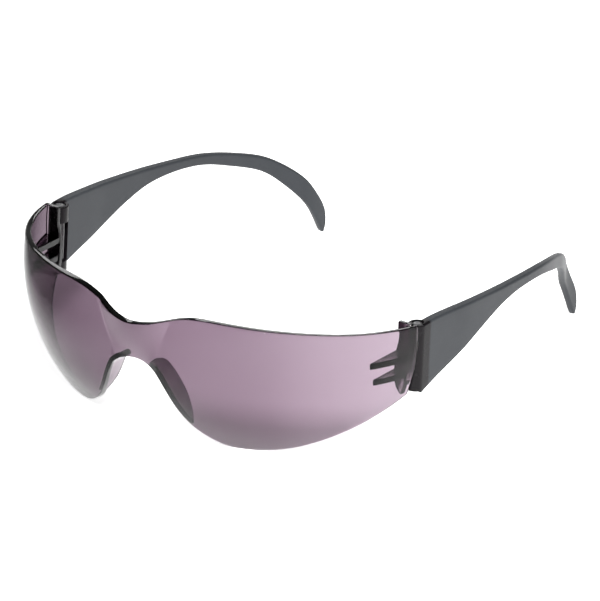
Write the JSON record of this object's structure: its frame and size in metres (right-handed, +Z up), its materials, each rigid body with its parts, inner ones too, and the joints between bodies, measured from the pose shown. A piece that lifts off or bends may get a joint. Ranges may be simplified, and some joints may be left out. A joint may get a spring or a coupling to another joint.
{
  "type": "safety glasses",
  "caption": "Wraparound safety glasses: a one-piece smoke-tinted shield with a moulded nose bridge, and hooked temples that fold on hinge pins.",
  "frame": {"origin": "middle of the bounding box in plan, on the surface that the open glasses stand on", "axes": "+X to the wearer's left, -Y the way the wearer looks, +Z up"},
  "size_m": [0.1382, 0.1668, 0.0443],
  "materials": {
    "tinted_polycarbonate": "clear gloss, smoke-purple tint all through, dark where the light crosses it edge on",
    "temple_plastic": "fine satin, charcoal grey",
    "pin_steel": "dark steel with a smooth domed head"
  },
  "bodies": {
    "shield": {"lens_shield": "tinted_polycarbonate", "left_hinge_pin": "pin_steel", "right_hinge_pin": "pin_steel"},
    "left_temple": {"left_temple": "temple_plastic"},
    "right_temple": {"right_temple": "temple_plastic"}
  },
  "joints": [
    {"name": "left_temple_fold", "type": "hinge", "parent": "shield", "child": "left_temple", "pos_m": [0.0662, -0.0281, 0.028], "axis": [0, 0, 1], "range_deg": [0, 92]},
    {"name": "right_temple_fold", "type": "hinge", "parent": "shield", "child": "right_temple", "pos_m": [-0.0662, -0.0281, 0.028], "axis": [0, 0, -1], "range_deg": [0, 80]}
  ]
}
